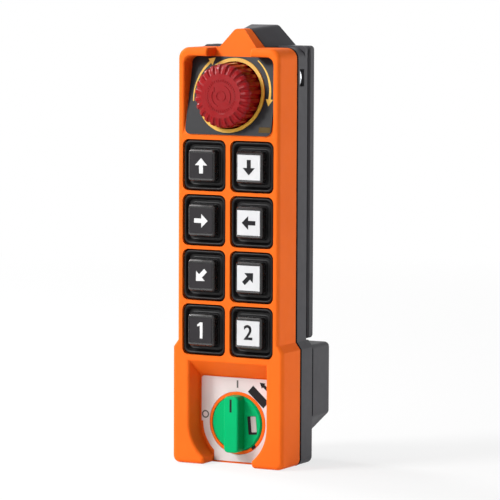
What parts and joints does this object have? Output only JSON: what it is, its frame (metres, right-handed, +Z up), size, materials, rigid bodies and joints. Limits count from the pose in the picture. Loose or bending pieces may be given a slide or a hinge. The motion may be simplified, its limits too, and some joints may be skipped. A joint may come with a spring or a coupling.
{
  "type": "pushbutton transmitter",
  "caption": "Hand-held radio transmitter for a crane: orange and grey housing, red emergency stop, two columns of rubber-booted pushbuttons and a green rotary key switch.",
  "frame": {"origin": "bottom centre of the whole handset, standing on its flat bottom", "axes": "+X to the right seen from the button side, +Y to the back, +Z up along the handset"},
  "size_m": [0.062, 0.0596, 0.218],
  "materials": {
    "housing_orange": "fine-grained glass-filled nylon, orange",
    "housing_grey": "fine-grained glass-filled nylon, dark grey",
    "seal_black": "soft black sealing rubber",
    "rubber_black": "black silicone",
    "cap_black": "satin black moulding",
    "legend_black": "black printed insert",
    "legend_white": "white printed insert",
    "label_black": "smooth black film",
    "window_clear": "amber light guide",
    "collar_yellow": "smooth yellow moulding",
    "stop_red": "smooth red moulding",
    "inner_grey": "plain moulding",
    "board_green": "coated laminate",
    "shield_tin": "tinned sheet",
    "steel": "stainless, satin",
    "plate_white": "white printed plate",
    "key_green": "smooth green moulding",
    "cell_wrap": "plain film",
    "contact_brass": "plated spring strip"
  },
  "bodies": {
    "housing": {"front_housing": "housing_orange", "rear_housing": "housing_grey", "back_plate": "housing_grey", "housing_gasket": "seal_black", "housing_screws": "steel", "strap_bar_right": "steel", "strap_bar_left": "steel", "stop_label": "label_black", "indicator_window": "window_clear", "stop_collar": "collar_yellow", "stop_switch_block": "inner_grey", "stop_spring": "steel", "keypad_mat": "rubber_black", "button_switches": "inner_grey", "main_board": "board_green", "board_screws": "steel", "radio_module": "shield_tin", "aerial": "inner_grey", "key_plate": "plate_white", "key_switch_block": "inner_grey", "cover_seal": "seal_black", "battery_cell_upper": "cell_wrap", "battery_cell_lower": "cell_wrap", "battery_tray": "inner_grey", "battery_contacts": "contact_brass"},
    "stop_slider": {"stop_washer": "steel"},
    "stop_actuator": {"stop_knob": "stop_red", "stop_stem": "inner_grey"},
    "key": {"key_knob": "key_green", "key_pointer": "label_black", "key_rotor": "inner_grey"},
    "battery_door": {"battery_cover": "housing_grey"},
    "door_screw": {"cover_screw": "steel"},
    "button_left_1": {"button_cap_left_1": "cap_black", "button_legend_left_1": "legend_black"},
    "button_right_1": {"button_cap_right_1": "cap_black", "button_legend_right_1": "legend_white"},
    "button_left_2": {"button_cap_left_2": "cap_black", "button_legend_left_2": "legend_black"},
    "button_right_2": {"button_cap_right_2": "cap_black", "button_legend_right_2": "legend_white"},
    "button_left_3": {"button_cap_left_3": "cap_black", "button_legend_left_3": "legend_black"},
    "button_right_3": {"button_cap_right_3": "cap_black", "button_legend_right_3": "legend_white"},
    "button_left_4": {"button_cap_left_4": "cap_black", "button_legend_left_4": "legend_black"},
    "button_right_4": {"button_cap_right_4": "cap_black", "button_legend_right_4": "legend_white"}
  },
  "joints": [
    {"name": "stop_push", "type": "slide", "parent": "housing", "child": "stop_slider", "axis": [0, 1, 0], "range_m": [0, 0.004], "stiffness_N_per_m": 900, "deforming": ["stop_spring"]},
    {"name": "stop_twist", "type": "hinge", "parent": "stop_slider", "child": "stop_actuator", "pos_m": [0, -0.0298, 0.184], "axis": [0, 1, 0], "range_deg": [0, 45], "stiffness_Nm_per_rad": 0.05},
    {"name": "key_turn", "type": "hinge", "parent": "housing", "child": "key", "pos_m": [0, -0.0117, 0.0204], "axis": [0, -1, 0], "range_deg": [-50, 90]},
    {"name": "cover_slide", "type": "slide", "parent": "housing", "child": "battery_door", "axis": [0, 1, 0], "range_m": [0, 0.03]},
    {"name": "cover_screw_turn", "type": "hinge", "parent": "battery_door", "child": "door_screw", "pos_m": [0, 0.0298, 0.0189], "axis": [0, 1, 0], "continuous": true},
    {"name": "button_left_1_press", "type": "slide", "parent": "housing", "child": "button_left_1", "axis": [0, 1, 0], "range_m": [0, 0.0025], "stiffness_N_per_m": 600},
    {"name": "button_right_1_press", "type": "slide", "parent": "housing", "child": "button_right_1", "axis": [0, 1, 0], "range_m": [0, 0.0025], "stiffness_N_per_m": 600},
    {"name": "button_left_2_press", "type": "slide", "parent": "housing", "child": "button_left_2", "axis": [0, 1, 0], "range_m": [0, 0.0025], "stiffness_N_per_m": 600},
    {"name": "button_right_2_press", "type": "slide", "parent": "housing", "child": "button_right_2", "axis": [0, 1, 0], "range_m": [0, 0.0025], "stiffness_N_per_m": 600},
    {"name": "button_left_3_press", "type": "slide", "parent": "housing", "child": "button_left_3", "axis": [0, 1, 0], "range_m": [0, 0.0025], "stiffness_N_per_m": 600},
    {"name": "button_right_3_press", "type": "slide", "parent": "housing", "child": "button_right_3", "axis": [0, 1, 0], "range_m": [0, 0.0025], "stiffness_N_per_m": 600},
    {"name": "button_left_4_press", "type": "slide", "parent": "housing", "child": "button_left_4", "axis": [0, 1, 0], "range_m": [0, 0.0025], "stiffness_N_per_m": 600},
    {"name": "button_right_4_press", "type": "slide", "parent": "housing", "child": "button_right_4", "axis": [0, 1, 0], "range_m": [0, 0.0025], "stiffness_N_per_m": 600}
  ]
}
